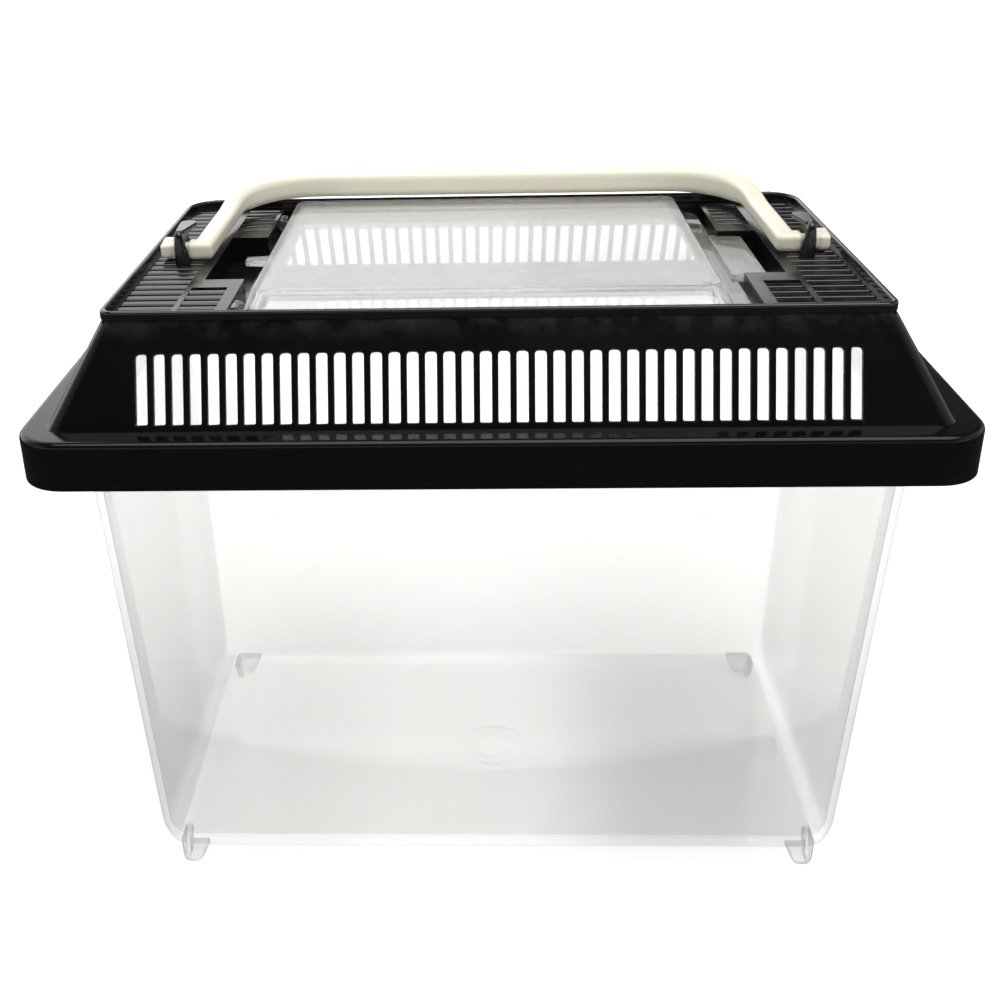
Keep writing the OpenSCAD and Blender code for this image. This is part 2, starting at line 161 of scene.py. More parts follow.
def clear_plastic(name, tint, rough=0.035, ior=1.5, wave=0.04, glass=0.5, pass_=0.9, sheen=0.58, base=0.04, dust=0.0):
    """Clear moulding: part refracting solid, part thin sheet whose sheen grows towards grazing angles."""
    mt = Mat(name)
    cloud = mt.noise(22.0, 2.0)
    scratch = mt.noise(520.0, 4.0, 0.6)
    wear = mt.math("MULTIPLY", edge_wear(mt, 0.52, 0.62), 0.06)
    rough_v = mt.math("ADD", mt.ramp(scratch, 0.35, 0.75, rough * 0.6, rough * 1.5), wear)
    normal = mt.bump(mt.noise(16.0, 1.0), wave, 0.0008)
    p = mt.n("ShaderNodeBsdfPrincipled", IOR=ior)
    p.inputs["Transmission Weight"].default_value = 1.0
    mt.link(mt.mix(cloud, tint, tuple(min(1.0, c + 0.015) for c in tint)), p.inputs["Base Color"])
    mt.link(rough_v, p.inputs["Roughness"])
    mt.link(normal, p.inputs["Normal"])
    # thin part
    lw = mt.n("ShaderNodeLayerWeight", Blend=0.5)
    mt.link(normal, lw.inputs["Normal"])
    facing = lw.outputs["Facing"]
    amount = mt.math("ADD", mt.math("MULTIPLY", mt.math("POWER", facing, 4.0), sheen), base)
    veil = mt.n("ShaderNodeBsdfTransparent")
    mt.link(mt.mix(cloud, (pass_, pass_, pass_ * 0.995), (min(1.0, pass_ + 0.02),) * 3), veil.inputs["Color"])
    shine = mt.n("ShaderNodeBsdfGlossy")
    shine.inputs["Color"].default_value = (0.97, 0.97, 0.965, 1.0)
    mt.link(rough_v, shine.inputs["Roughness"])
    mt.link(normal, shine.inputs["Normal"])
    thin = mt.t.nodes.new("ShaderNodeMixShader")
    mt.link(amount, thin.inputs["Fac"])
    mt.link(veil.outputs["BSDF"], thin.inputs[1])
    mt.link(shine.outputs["BSDF"], thin.inputs[2])
    both = mt.t.nodes.new("ShaderNodeMixShader")
    both.inputs["Fac"].default_value = glass
    mt.link(thin.outputs["Shader"], both.inputs[1])
    mt.link(p.outputs["BSDF"], both.inputs[2])
    out = both.outputs["Shader"]
    if dust:
        milk = mt.n("ShaderNodeBsdfDiffuse")
        milk.inputs["Color"].default_value = (0.85, 0.85, 0.84, 1.0)
        add = mt.t.nodes.new("ShaderNodeMixShader")
        mt.link(mt.ramp(scratch, 0.3, 0.8, dust * 0.7, dust * 1.4), add.inputs["Fac"])
        mt.link(out, add.inputs[1])
        mt.link(milk.outputs["BSDF"], add.inputs[2])
        out = add.outputs["Shader"]
    path = mt.n("ShaderNodeLightPath")
    through = mt.math("MAXIMUM", path.outputs["Is Shadow Ray"], path.outputs["Is Diffuse Ray"])
    clear = mt.n("ShaderNodeBsdfTransparent")
    clear.inputs["Color"].default_value = (0.98, 0.98, 0.98, 1.0)
    mix = mt.t.nodes.new("ShaderNodeMixShader")
    mt.link(through, mix.inputs["Fac"])
    mt.link(out, mix.inputs[1])
    mt.link(clear.outputs["BSDF"], mix.inputs[2])
    mt.link(mix.outputs["Shader"], mt.out.inputs["Surface"])
    return mt.m


def ivory_plastic(name):
    mt = Mat(name)
    p = mt.n("ShaderNodeBsdfPrincipled", IOR=1.48)
    p.inputs["Subsurface Weight"].default_value = 0.12
    p.inputs["Subsurface Radius"].default_value = (0.9, 0.7, 0.4)
    p.inputs["Subsurface Scale"].default_value = 0.0015
    cloud = mt.noise(30.0, 3.0)
    wear = mt.math("MULTIPLY", edge_wear(mt, 0.52, 0.62), mt.ramp(mt.noise(240.0, 3.0), 0.45, 0.7, 0.0, 1.0))
    body = mt.mix(cloud, (0.72, 0.685, 0.56), (0.76, 0.725, 0.605))
    mt.link(mt.mix(mt.math("MULTIPLY", wear, 0.25), body, (0.62, 0.58, 0.47)), p.inputs["Base Color"])
    mt.link(mt.math("ADD", mt.ramp(mt.noise(90.0, 3.0), 0.3, 0.7, 0.27, 0.36), mt.math("MULTIPLY", wear, 0.1)), p.inputs["Roughness"])
    wave = mt.bump(mt.noise(20.0, 1.0), 0.05, 0.0006)
    mt.link(mt.bump(mt.noise(1500.0, 2.0), 0.04, 0.0001, wave), p.inputs["Normal"])
    mt.link(p.outputs["BSDF"], mt.out.inputs["Surface"])
    return mt.m


BLACK = black_plastic("lid_black")
BLACK_MID = black_plastic("lid_black_top", level=0.2)
# Walls and skirt: the lid's black with a darker base colour, painted shade on these faces, and a lower specular level.
BLACK_SHADED_WALLS = black_plastic("lid_black_walls_painted_shade", base=(0.0025, 0.0028, 0.003), level=0.2)
CLEAR = clear_plastic("tank_clear", (0.95, 0.95, 0.945), wave=0.015, glass=0.16, pass_=0.968, sheen=0.28, base=0.024, dust=0.006)
FOOT = clear_plastic("foot_clear", (0.90, 0.90, 0.895), wave=0.02, glass=0.5, pass_=0.9, sheen=0.6, base=0.05, dust=0.03)
HATCH = clear_plastic("hatch_clear", (0.87, 0.87, 0.865), rough=0.03, wave=0.03, glass=0.4, pass_=0.85, sheen=0.36, base=0.012, dust=0.012)
IVORY = ivory_plastic("handle_ivory")


# ------------------------------------------------------------ mesh helpers
def make(name, verts, faces, mat, body, bevel=None, segments=3, sharp=32.0, weighted=True, angle=28.0):
    """A piece from vertices in mm, with smooth faces, optional rounded edges and weighted normals."""
    me = bpy.data.meshes.new(name)
    me.from_pydata([(x * MM, y * MM, z * MM) for x, y, z in verts], [], faces)
    bm = bmesh.new()
    bm.from_mesh(me)
    bmesh.ops.remove_doubles(bm, verts=bm.verts, dist=1e-6)
    bmesh.ops.recalc_face_normals(bm, faces=bm.faces)
    bm.to_mesh(me)
    bm.free()
    me.validate()
    me.materials.append(mat)
    ob = bpy.data.objects.new(name, me)
    scene.collection.objects.link(ob)
    if bevel:
        b = ob.modifiers.new("edge", "BEVEL")
        b.width, b.segments, b.limit_method = bevel * MM, segments, "ANGLE"
        b.angle_limit = math.radians(angle)
        b.use_clamp_overlap = True
        bpy.context.view_layer.objects.active = ob
        dg = bpy.context.evaluated_depsgraph_get()
        baked = bpy.data.meshes.new_from_object(ob.evaluated_get(dg))
        ob.modifiers.clear()
        ob.data = baked
        me = baked
    me.shade_smooth()
    me.set_sharp_from_angle(angle=math.radians(sharp))
    if weighted:
        w = ob.modifiers.new("normals", "WEIGHTED_NORMAL")
        w.keep_sharp = True
        w.weight = 60
    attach(ob, body)
    return ob


def rr(x0, x1, y0, y1, rad, z, nc=7, xs=(), ny=1):
    """Rounded rectangle as a loop, seen from above counterclockwise from the front left.

    rad is one radius, or four: front right, rear right, rear left, front left."""
    q = tuple(max(a, 0.05) for a in (rad if isinstance(rad, tuple) else (rad,) * 4))
    pts = []

    def arc(cx, cy, a0, rad_):
        for i in range(nc + 1):
            a = math.radians(a0 + 90.0 * i / nc)
            pts.append((cx + rad_ * math.cos(a), cy + rad_ * math.sin(a), z))

    pts.extend((x, y0, z) for x in xs)
    arc(x1 - q[0], y0 + q[0], -90, q[0])
    for i in range(1, ny):
        pts.append((x1, y0 + q[0] + (y1 - y0 - q[0] - q[1]) * i / ny, z))
    arc(x1 - q[1], y1 - q[1], 0, q[1])
    pts.extend((x, y1, z) for x in reversed(xs))
    arc(x0 + q[2], y1 - q[2], 90, q[2])
    for i in range(1, ny):
        pts.append((x0, y1 - q[2] - (y1 - y0 - q[2] - q[3]) * i / ny, z))
    arc(x0 + q[3], y0 + q[3], 180, q[3])
    return pts


def rh(hx, hy, rad, z, **k):
    return rr(-hx, hx, -hy, hy, rad, z, **k)


def loft(loops, ring=False, cap0=False, cap1=False, point=None):
    """Quads between loops of equal length, closed into a ring or capped."""
    n = len(loops[0])
    verts = [p for lp in loops for p in lp]
    faces = []
    rows = len(loops)
    for j in range(rows if ring else rows - 1):
        a, b = j * n, ((j + 1) % rows) * n
        for i in range(n):
            i2 = (i + 1) % n
            faces.append((a + i, a + i2, b + i2, b + i))
    if cap0:
        faces.append(tuple(range(n)))
    if cap1:
        faces.append(tuple((rows - 1) * n + i for i in range(n)))
    if point is not None:
        verts.append(point)
        c = len(verts) - 1
        a = (rows - 1) * n
        for i in range(n):
            faces.append((a + i, a + (i + 1) % n, c))
    return verts, faces


def merge(parts):
    verts, faces = [], []
    for v, fs in parts:
        o = len(verts)
        verts += v
        faces += [tuple(i + o for i in f_) for f_ in fs]
    return verts, faces


def boxes(adds, subs):
    """Boundary faces of a union of boxes less other boxes, on the grid of their planes."""
    cs = [sorted({round(b[2 * a + k], 4) for b in adds + subs for k in (0, 1)}) for a in range(3)]
    lo = [min(b[2 * a] for b in adds) for a in range(3)]
    hi = [max(b[2 * a + 1] for b in adds) for a in range(3)]
    cs = [[c for c in cs[a] if lo[a] - 1e-6 <= c <= hi[a] + 1e-6] for a in range(3)]
    mid = [np.array([(c[i] + c[i + 1]) / 2 for i in range(len(c) - 1)]) for c in cs]
    solid = np.zeros([len(q) for q in mid], bool)
    for group, value in ((adds, True), (subs, False)):
        for b in group:
            sel = [(mid[a] > b[2 * a]) & (mid[a] < b[2 * a + 1]) for a in range(3)]
            solid[np.ix_(*sel)] = value
    pad = np.zeros([s + 2 for s in solid.shape], bool)
    pad[1:-1, 1:-1, 1:-1] = solid
    ids, verts, faces = {}, [], []

    def v(i, j, k):
        key = (i, j, k)
        if key not in ids:
            ids[key] = len(verts)
            verts.append((cs[0][i], cs[1][j], cs[2][k]))
        return ids[key]

    for i, j, k in np.argwhere(solid):
        p = (i + 1, j + 1, k + 1)
        if not pad[p[0] - 1, p[1], p[2]]:
            faces.append((v(i, j, k), v(i, j, k + 1), v(i, j + 1, k + 1), v(i, j + 1, k)))
        if not pad[p[0] + 1, p[1], p[2]]:
            faces.append((v(i + 1, j, k), v(i + 1, j + 1, k), v(i + 1, j + 1, k + 1), v(i + 1, j, k + 1)))
        if not pad[p[0], p[1] - 1, p[2]]:
            faces.append((v(i, j, k), v(i + 1, j, k), v(i + 1, j, k + 1), v(i, j, k + 1)))
        if not pad[p[0], p[1] + 1, p[2]]:
            faces.append((v(i, j + 1, k), v(i, j + 1, k + 1), v(i + 1, j + 1, k + 1), v(i + 1, j + 1, k)))
        if not pad[p[0], p[1], p[2] - 1]:
            faces.append((v(i, j, k), v(i, j + 1, k), v(i + 1, j + 1, k), v(i + 1, j, k)))
        if not pad[p[0], p[1], p[2] + 1]:
            faces.append((v(i, j, k + 1), v(i + 1, j, k + 1), v(i + 1, j + 1, k + 1), v(i, j + 1, k + 1)))
    return verts, faces


def prism(poly, axis, a, b):
    """A polygon in the plane across axis (x: y,z; y: x,z; z: x,y), extruded from a to b."""
    put = {
        "x": lambda p, t: (t, p[0], p[1]),
        "y": lambda p, t: (p[0], t, p[1]),
        "z": lambda p, t: (p[0], p[1], t),
    }[axis]
    n = len(poly)
    verts = [put(p, a) for p in poly] + [put(p, b) for p in poly]
    faces = [tuple(range(n)), tuple(range(2 * n - 1, n - 1, -1))]
    faces += [(i, (i + 1) % n, n + (i + 1) % n, n + i) for i in range(n)]
    return verts, faces


def flip_x(part):
    v, fs = part
    return [(-x, y, z) for x, y, z in v], [tuple(reversed(q)) for q in fs]


def flip_y(part):
    v, fs = part
    return [(x, -y, z) for x, y, z in v], [tuple(reversed(q)) for q in fs]


# -------------------------------------------------------------------- tank
Z0, ZT = 7.0, 148.3


def half_x(z):
    return 100.85 + 3.65 * (z - 7.0) / 130.7


def half_y(z):
    return 54.1 + 9.65 * (z - 7.0) / 130.7


def ell(q, a, b):
    """Inset of an elliptic fillet, a wide and b high, at the height q."""
    return a * (1.0 - math.sqrt(max(0.0, 1.0 - (1.0 - q / b) ** 2))) if q < b else 0.0


def tank():
    k = dict(nc=9, xs=[-80 + 20 * i for i in range(9)], ny=6)
    loops = []

    def wall(z, inset, rad, iy=None):
        loops.append(rh(half_x(z) - inset, half_y(z) - (inset if iy is None else iy), rad, z, **k))

    loops.append(rh(half_x(Z0) - 16, half_y(Z0) - 12, 3.0, Z0, **k))
    for q in (0.0, 0.06, 0.2, 0.42, 0.7, 1.0, 1.35, 1.7, 2.3, 3.0, 4.0, 5.2, 6.6, 8.0):
        ix = ell(q, 5.4, 8.0)
        wall(Z0 + q, ix, 6.5 - 1.5 * ix / 5.4, ell(q, 1.5, 1.7))
    for z in (30, 60, 90, 120, 140, 144.9):
        wall(z, 0, 6.5)
    # fillet into the flange and round its turned-down edge
    for z, o in ((145.6, 0.08), (146.0, 0.3), (146.3, 0.75), (146.4, 1.4)):
        wall(z, -o, 6.5 + o * 0.3)
    for hx, hy, rad, z in (
        (112.4, 73.4, 7.6, 146.4), (112.8, 73.8, 7.8, 146.25), (113.0, 73.9, 7.9, 145.8),
        (113.0, 73.9, 7.9, 143.3), (113.15, 74.05, 8.0, 143.0), (113.5, 74.4, 8.4, 142.9),
        (114.3, 75.2, 9.1, 142.9), (114.6, 75.5, 9.4, 143.0), (114.7, 75.6, 9.5, 143.4),
        (114.7, 75.6, 9.5, 147.6), (114.55, 75.45, 9.4, 148.1), (114.1, 75.0, 9.0, 148.3),
    ):
        loops.append(rh(hx, hy, rad, z, **k))
    for z, o in ((148.3, 1.3), (148.22, 1.65), (147.9, 1.95)):
        wall(z, o, 4.8)
    for z in (140, 120, 90, 60, 30, 17):
        wall(z, 2.0, 4.6)
    zi = 9.2
    for q in (6.0, 4.7, 3.6, 2.7, 2.0, 1.4, 0.9, 0.5, 0.22, 0.06, 0.0):
        wall(zi + q, 2.0 + ell(q, 3.8, 6.0), 4.6, 2.0 + ell(q, 2.4, 2.7))
    last = loops[-1]
    hx, hy = half_x(zi) - 5.8, half_y(zi) - 4.4
    ang = [math.atan2(p[1] / hy, p[0] / hx) for p in last]
    for rad, z in (
        (16.0, 9.20), (10.9, 9.20), (10.7, 9.3), (10.5, 9.68), (10.25, 9.82), (10.0, 9.68), (9.8, 9.3), (9.6, 9.20),
        (7.1, 9.20), (6.9, 9.3), (6.7, 9.68), (6.45, 9.82), (6.2, 9.68), (6.0, 9.3), (5.8, 9.20), (1.5, 9.20),
    ):
        loops.append([(rad * math.cos(a), -6.5 + rad * math.sin(a), z) for a in ang])
    v, fs = loft(loops, cap0=True, point=(0, -6.5, 9.2))
    ob = make("tank_shell", v, fs, CLEAR, "tank", sharp=40)
    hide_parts("tank")
    parts = []
    for sx in (-1, 1):
        for sy in (-1, 1):
            ox, oy = 95.6, 53.3
            levels = []
            for z, leg, ins in ((7.5, 9.0, 0.0), (7.0, 8.8, 0.0), (5.0, 7.9, 0.02), (3.0, 7.0, 0.06), (1.5, 6.3, 0.14), (0.6, 5.7, 0.3), (0.15, 5.2, 0.55), (0.0, 4.8, 0.9)):
                t = 2.5 - ins
                pts = []
                c0 = 2.4
                for i in range(7):  # rounded outer corner
                    a = math.radians(90.0 * i / 6)
                    pts.append((-c0 + (c0 - ins) * math.cos(a), -c0 + (c0 - ins) * math.sin(a)))
                # leg along -x: outer face y = -ins, tip, inner face y = -t
                tip = 0.9
                for i in range(5):
                    a = math.radians(90 + 180.0 * i / 4)
                    pts.append((-leg + tip + tip * math.cos(a), -(ins + t) / 2 + (t - ins) / 2 * math.sin(a)))
                pts.append((-t, -t))
                for i in range(5):
                    a = math.radians(180 + 180.0 * i / 4)
                    pts.append((-(ins + t) / 2 + (t - ins) / 2 * math.cos(a), -leg + tip + tip * math.sin(a)))
                levels.append([(sx * (ox + px), sy * (oy + py), z) for px, py in pts])
            parts.append(loft(levels, cap0=True, cap1=True))
    v, fs = merge(parts)
    make("tank_feet", v, fs, FOOT, "tank", sharp=40)


# --------------------------------------------------------------------- lid
PITCH_X, N_SLOT, X_OFF = 4.418, 40, 0.12
XS = [X_OFF + (i - N_SLOT / 2) * PITCH_X for i in range(N_SLOT + 1)]
FAN = math.radians(0.0203)
YF, YB = 57.7, 61.85  # top of the sloped walls in front of and behind the centre
SLOPES = {}  # side: drop in plan, length and normal of the sloped wall
for side_, top_ in ((-1, YF), (1, YB)):
    run = 71.2 - top_
    length = math.hypot(run, 23.7)
    SLOPES[side_] = (run, length, 23.7 / length, run / length)
SL = SLOPES[-1][1]


def lid_skirt():
    k = dict(nc=10, xs=[-100 + 20 * i for i in range(11)], ny=6)
    sec = [
        (1.95, 138.2), (1.85, 137.85), (1.55, 137.72), (0.5, 137.7), (0.2, 137.78), (0.04, 137.98), (0.0, 138.3),
        (0.0, 148.6), (0.03, 149.0), (0.14, 149.4), (0.33, 149.75), (0.6, 150.05), (0.95, 150.26), (1.35, 150.37), (1.8, 150.4),
        (6.4, 150.4), (6.9, 150.42), (7.15, 150.5), (7.3, 150.7), (8.2, 150.7), (9.2, 150.0), (9.2, 148.6),
        (2.9, 148.6), (2.35, 148.5), (2.05, 148.2), (1.97, 147.7),
    ]
    loops = []
    for d, z in sec:
        front, rear = max(12 - d, 4.3 if d > 7 else 0.5), max(12 - d, 7.0)
        loops.append(rh(117.5 - d, 78.4 - d, (front, rear, rear, front), z, **k))
    v, fs = loft(loops, ring=True)
    make("lid_skirt", v, fs, BLACK_SHADED_WALLS, "lid", sharp=45)


def wall_lv(s, depth=0.0):
    _, _, ny, nz = SLOPES[-1]
    z = 150.7 + 23.7 * s / SL - depth * nz
    t = (z - 150.7) / 23.7
    off = depth / ny
    front, rear = max(4.4 - 1.0 * t - depth, 1.6), 7.0 + 2.5 * t - depth
    return (-110.3 + 13.5 * t + off, 110.3 - 13.5 * t - off, -71.2 + 13.5 * t + off,
            71.2 - SLOPES[1][0] * t - depth / SLOPES[1][2], (front, rear, rear, front), z)


def slot_ring(grow):
    """Outline of one slot: square foot, rounded top."""
    w, a, b = 1.425 + grow, 1.5 - grow, 19.0 + grow
    rb_, rt_ = 0.35 + grow, 0.9 + grow
    pts = []
    for cx, cy, r_, a0 in ((-w + rb_, a + rb_, rb_, 180), (w - rb_, a + rb_, rb_, 270), (w - rt_, b - rt_, rt_, 0), (-w + rt_, b - rt_, rt_, 90)):
        for i in range(5):
            t = math.radians(a0 + 90.0 * i / 4)
            pts.append((cx + r_ * math.cos(t), cy + r_ * math.sin(t)))
    return pts


def lid_walls():
    SA, SB, TH = 0.75, 21.6, 1.9
    lv = [(-0.6, 0), (0, 0), (SA, 0), (SB, 0), (SL, 0), (SL - 0.4, TH), (SB, TH), (SA, TH), (-0.9, TH)]
    loops = []
    for s_, d_ in lv:
        stretch = 1 + (s_ - 1.5) * FAN
        loops.append(rr(*wall_lv(s_, d_), nc=8, xs=[x * stretch for x in XS], ny=5))
    n = len(loops[0])
    nf = len(XS)
    back0 = nf + 9 + 4 + 9  # first index of the back edge, x running down
    skip_f = set(range(0, nf - 1))
    skip_b = set(range(back0, back0 + nf - 1))
    verts = [p for lp in loops for p in lp]
    faces = []
    rows = len(loops)
    for j in range(rows):
        a, b = j * n, ((j + 1) % rows) * n
        for i in range(n):
            if j in (2, 6) and (i in skip_f or i in skip_b):
                continue
            faces.append((a + i, a + (i + 1) % n, b + (i + 1) % n, b + i))
    prof = [(0.32, 0.0), (0.15, 0.05), (0.04, 0.16), (0.0, 0.36), (0.0, TH - 0.36), (0.04, TH - 0.16), (0.15, TH - 0.05), (0.32, TH)]
    for side in (-1, 1):
        run, length, ny, nz = SLOPES[side]
        for c in range(N_SLOT):
            xc = (XS[c] + XS[c + 1]) / 2
            ct, st = math.cos(FAN * xc), math.sin(FAN * xc)
            rings = []
            for gr, dep in prof:
                ids = []
                for uu, ss in slot_ring(gr):
                    x = xc + uu * ct + (ss - 1.5) * st
                    s_ = 1.5 + (ss - 1.5) * ct - uu * st
                    ids.append(len(verts))
                    verts.append((x, side * (71.2 - run * s_ / length - dep * ny), 150.7 + 23.7 * s_ / length - dep * nz))
                rings.append(ids)
            q = len(rings[0])
            for a, b in zip(rings, rings[1:]):
                for i in range(q):
                    faces.append((a[i], a[(i + 1) % q], b[(i + 1) % q], b[i]))
            if side < 0:
                ia, ib = c, c + 1
            else:
                ia, ib = back0 + nf - 1 - c, back0 + nf - 2 - c
            for p, la, lb in ((rings[0], 2, 3), (rings[-1], 7, 6)):
                A, B, C, D = la * n + ia, la * n + ib, lb * n + ib, lb * n + ia
                h = q // 2
                faces.append((A, B, *[p[i] for i in range(h - 1, -1, -1)]))
                faces.append((B, C, p[h], p[h - 1]))
                faces.append((C, D, *[p[i] for i in range(q - 1, h - 1, -1)]))
                faces.append((D, A, p[0], p[q - 1]))
    make("lid_walls", verts, faces, BLACK_SHADED_WALLS, "lid", sharp=40)


def lid_rim():
    k = dict(nc=8, xs=[-90 + 20 * i for i in range(10)], ny=6)
    sec = [
        (0.75, 173.9), (0.15, 174.2), (0.0, 174.45), (0.0, 175.9), (0.06, 176.25), (0.22, 176.52), (0.48, 176.67), (0.75, 176.7),
        (1.02, 176.66), (1.25, 176.5), (1.4, 176.2), (1.45, 175.9), (1.5, 174.0), (1.6, 172.6), (0.9, 172.4),
    ]
    loops = []
    for d, z in sec:
        front, rear = 3.6 - d * 0.7, 10.0 - d
        loops.append(rr(-97.25 + d, 97.25 - d, -58.15 + d, YB + 0.45 - d, (front, rear, rear, front), z, **k))
    v, fs = loft(loops, ring=True)
    make("lid_rim", v, fs, BLACK, "lid", sharp=45)


ZP, GAP = 174.2, 2.25
# x from, x to, y from, y to, number of gaps; both halves of the lid are alike
AREAS = [(81.0, 95.0, -56.4, 62.0, 25), (70.0, 79.5, -56.4, -28.2, 6), (67.9, 77.6, 29.05, 60.85, 7)]


def reach(x1, y):
    """How far a gap may go outwards beside the rounded rear corner of the rim."""
    if x1 < 90 or y < 52.8:
        return x1
    return min(x1, 87.0 + math.sqrt(max(64.0 - (y - 52.8) ** 2, 0.5)))


def lid_top():
    adds = [
        (-96.4, 96.4, -57.3, 61.2, 172.0, ZP), (-68.4, 68.4, -57.3, 58.4, 168.8, ZP),
        (-78.7, -64.8, -23.2, 23.2, 165.8, 173.2), (64.8, 78.7, -23.2, 23.2, 165.8, 173.2),
        (-66.0, -61.0, -3.3, 7.5, 165.8, 170.4),
    ]
    subs = [
        (-66.8, 66.6, -56.2, 56.2, 170.4, 180.0), (-60, 60, -52, 52, 160, 180),
        (-77.5, -66.0, -22, 22, 167.2, 180), (66.0, 77.5, -22, 22, 167.2, 180),
        (-67.0, -62.2, -2.1, 6.3, 167.2, 180),
    ]
    # rounded rear corners, inside the thickness of the wall
    for i in range(12):
        t0, t1 = (math.radians(90.0 * (i + d) / 12) for d in (0, 1))
        xa, ya = 87.25 + 8.75 * math.cos(t1), 52.3 + 8.75 * math.sin(t0)
        if i:
            subs += [(xa, 100, ya, 70, 160, 180), (-100, -xa, ya, 70, 160, 180)]
    for x0, x1, y0, y1, cnt in AREAS:
        p = (y1 - y0) / cnt
        for i in range(cnt):
            ya, yb = y0 + i * p, y0 + (i + 1) * p
            if i == 0:
                ya += (p - GAP) / 2
            if i == cnt - 1:
                yb -= (p - GAP) / 2
            xe = reach(x1, yb)
            subs += [(x0, xe, ya, yb, 160, 180), (-xe, -x0, ya, yb, 160, 180)]
    v, fs = boxes(adds, subs)
    make("lid_top", v, fs, BLACK_MID, "lid", bevel=0.32, segments=3, sharp=50)


def lid_slats():
    parts = []
    for x0, x1, y0, y1, cnt in AREAS:
        p = (y1 - y0) / cnt
        w = (p - GAP) / 2
        for i in range(1, cnt):
            yc = y0 + i * p
            # moulded slat, its top leaning a little to the front
            sec = [
                (-w + 0.1, 172.0), (-w, 172.25), (-w, ZP - 0.72), (-w + 0.06, ZP - 0.52), (-w + 0.2, ZP - 0.34), (-w + 0.42, ZP - 0.22),
                (w - 0.5, ZP - 0.03), (w - 0.24, ZP - 0.07), (w - 0.07, ZP - 0.2), (w, ZP - 0.4), (w, 172.25), (w - 0.1, 172.0),
            ]
            part = prism([(yc + a, b) for a, b in sec], "x", x0 - 0.5, reach(x1, yc) + 0.5)
            parts += [part, flip_x(part)]
    v, fs = merge(parts)
    make("lid_slats", v, fs, BLACK, "lid", sharp=50)


def hull_2d(pts):
    """Convex outline of points, counterclockwise."""
    pts = sorted(pts)
    out = []
    for seq in (pts, pts[::-1]):
        part = []
        for p in seq:
            while len(part) > 1 and (part[-1][0] - part[-2][0]) * (p[1] - part[-2][1]) - (part[-1][1] - part[-2][1]) * (p[0] - part[-2][0]) <= 1e-9:
                part.pop()
            part.append(p)
        out += part[:-1]
    return out


def lid_lugs():
    web = [(-7.0, 173.2), (-6.75, ZP + 1.6), (-6.35, 179.0), (-6.1, 180.4), (-5.4, 181.2),
           (-3.0, 182.4), (3.0, 182.6), (3.4, 182.2), (3.4, 181.6), (2.9, ZP + 1), (3.4, 173.2)]
    part = prism(web, "x", 86.2, 88.7)
    v, fs = merge([part, flip_x(part)])
    make("lid_lug_webs", v, fs, BLACK, "lid", bevel=0.6, segments=4, sharp=60, angle=50)
    # rounded tip in front of the tongue
    tip = []
    for z, k_, yf in ((176.0, 1.0, -6.72), (179.0, 1.0, -6.38), (180.6, 0.99, -6.16), (181.4, 0.95, -5.98), (182.1, 0.86, -5.7),
                      (182.6, 0.72, -5.35), (182.95, 0.52, -4.95), (183.15, 0.28, -4.6)):
        hx, ln = 1.27 * k_, 3.3 * k_
        tip.append(rr(87.45 - hx, 87.45 + hx, yf, yf + ln, min(hx, ln / 2) * 0.8, z, nc=5))
    part = loft(tip, cap0=True, cap1=True)
    v, fs = merge([part, flip_x(part)])
    make("lid_lug_tips", v, fs, BLACK, "lid", sharp=50)
    # rib on the inner side of the web, widening towards the panel
    gus = []
    for z, xg in ((173.2, 84.6), (174.6, 84.6), (178.0, 85.35), (181.0, 86.05), (182.0, 86.18)):
        yf = -6.95 + 0.06 * (z - 173.2)
        gus.append([(86.5, yf, z), (86.5, -5.4, z), (xg + 0.15, -5.4, z), (xg, -5.55, z), (xg, yf + 1.1, z), (xg + 0.12, yf + 0.85, z), (86.25, yf + 0.04, z)])
    part = loft(gus, cap0=True, cap1=True)
    v, fs = merge([part, flip_x(part)])
    make("lid_lug_ribs", v, fs, BLACK, "lid", sharp=30)
    tongue = []
    for cx, cy, r_ in ((86.75, 6.3, 2.45), (87.35, -2.4, 1.3)):
        tongue += [(cx + r_ * math.cos(math.radians(t)), cy + r_ * math.sin(math.radians(t))) for t in range(0, 360, 12)]
    part = prism(hull_2d(tongue), "z", 181.6, 183.0)
    v, fs = merge([part, flip_x(part)])
    make("lid_lug_tongues", v, fs, BLACK, "lid", bevel=0.45, segments=3, sharp=60, angle=50)


HX, HZ = -65.2, 173.2


def lid_knuckles():
    parts = []
    for y0, y1 in ((-49.4, -45.0), (43.0, 47.4)):
        sec = []
        for i in range(17):
            a = math.radians(180.0 * i / 16)
            sec.append((HX + 1.6 * math.cos(a), HZ + 1.6 * math.sin(a)))
        sec += [(HX - 1.6, 170.0), (HX + 0.9, 170.0), (HX + 1.0, HZ - 1.25), (HX + 1.45, HZ - 0.7)]
        parts.append(prism(sec, "y", y0, y1))
    v, fs = merge(parts)
    make("lid_knuckles", v, fs, BLACK, "lid", bevel=0.3, segments=3, sharp=45, angle=50)


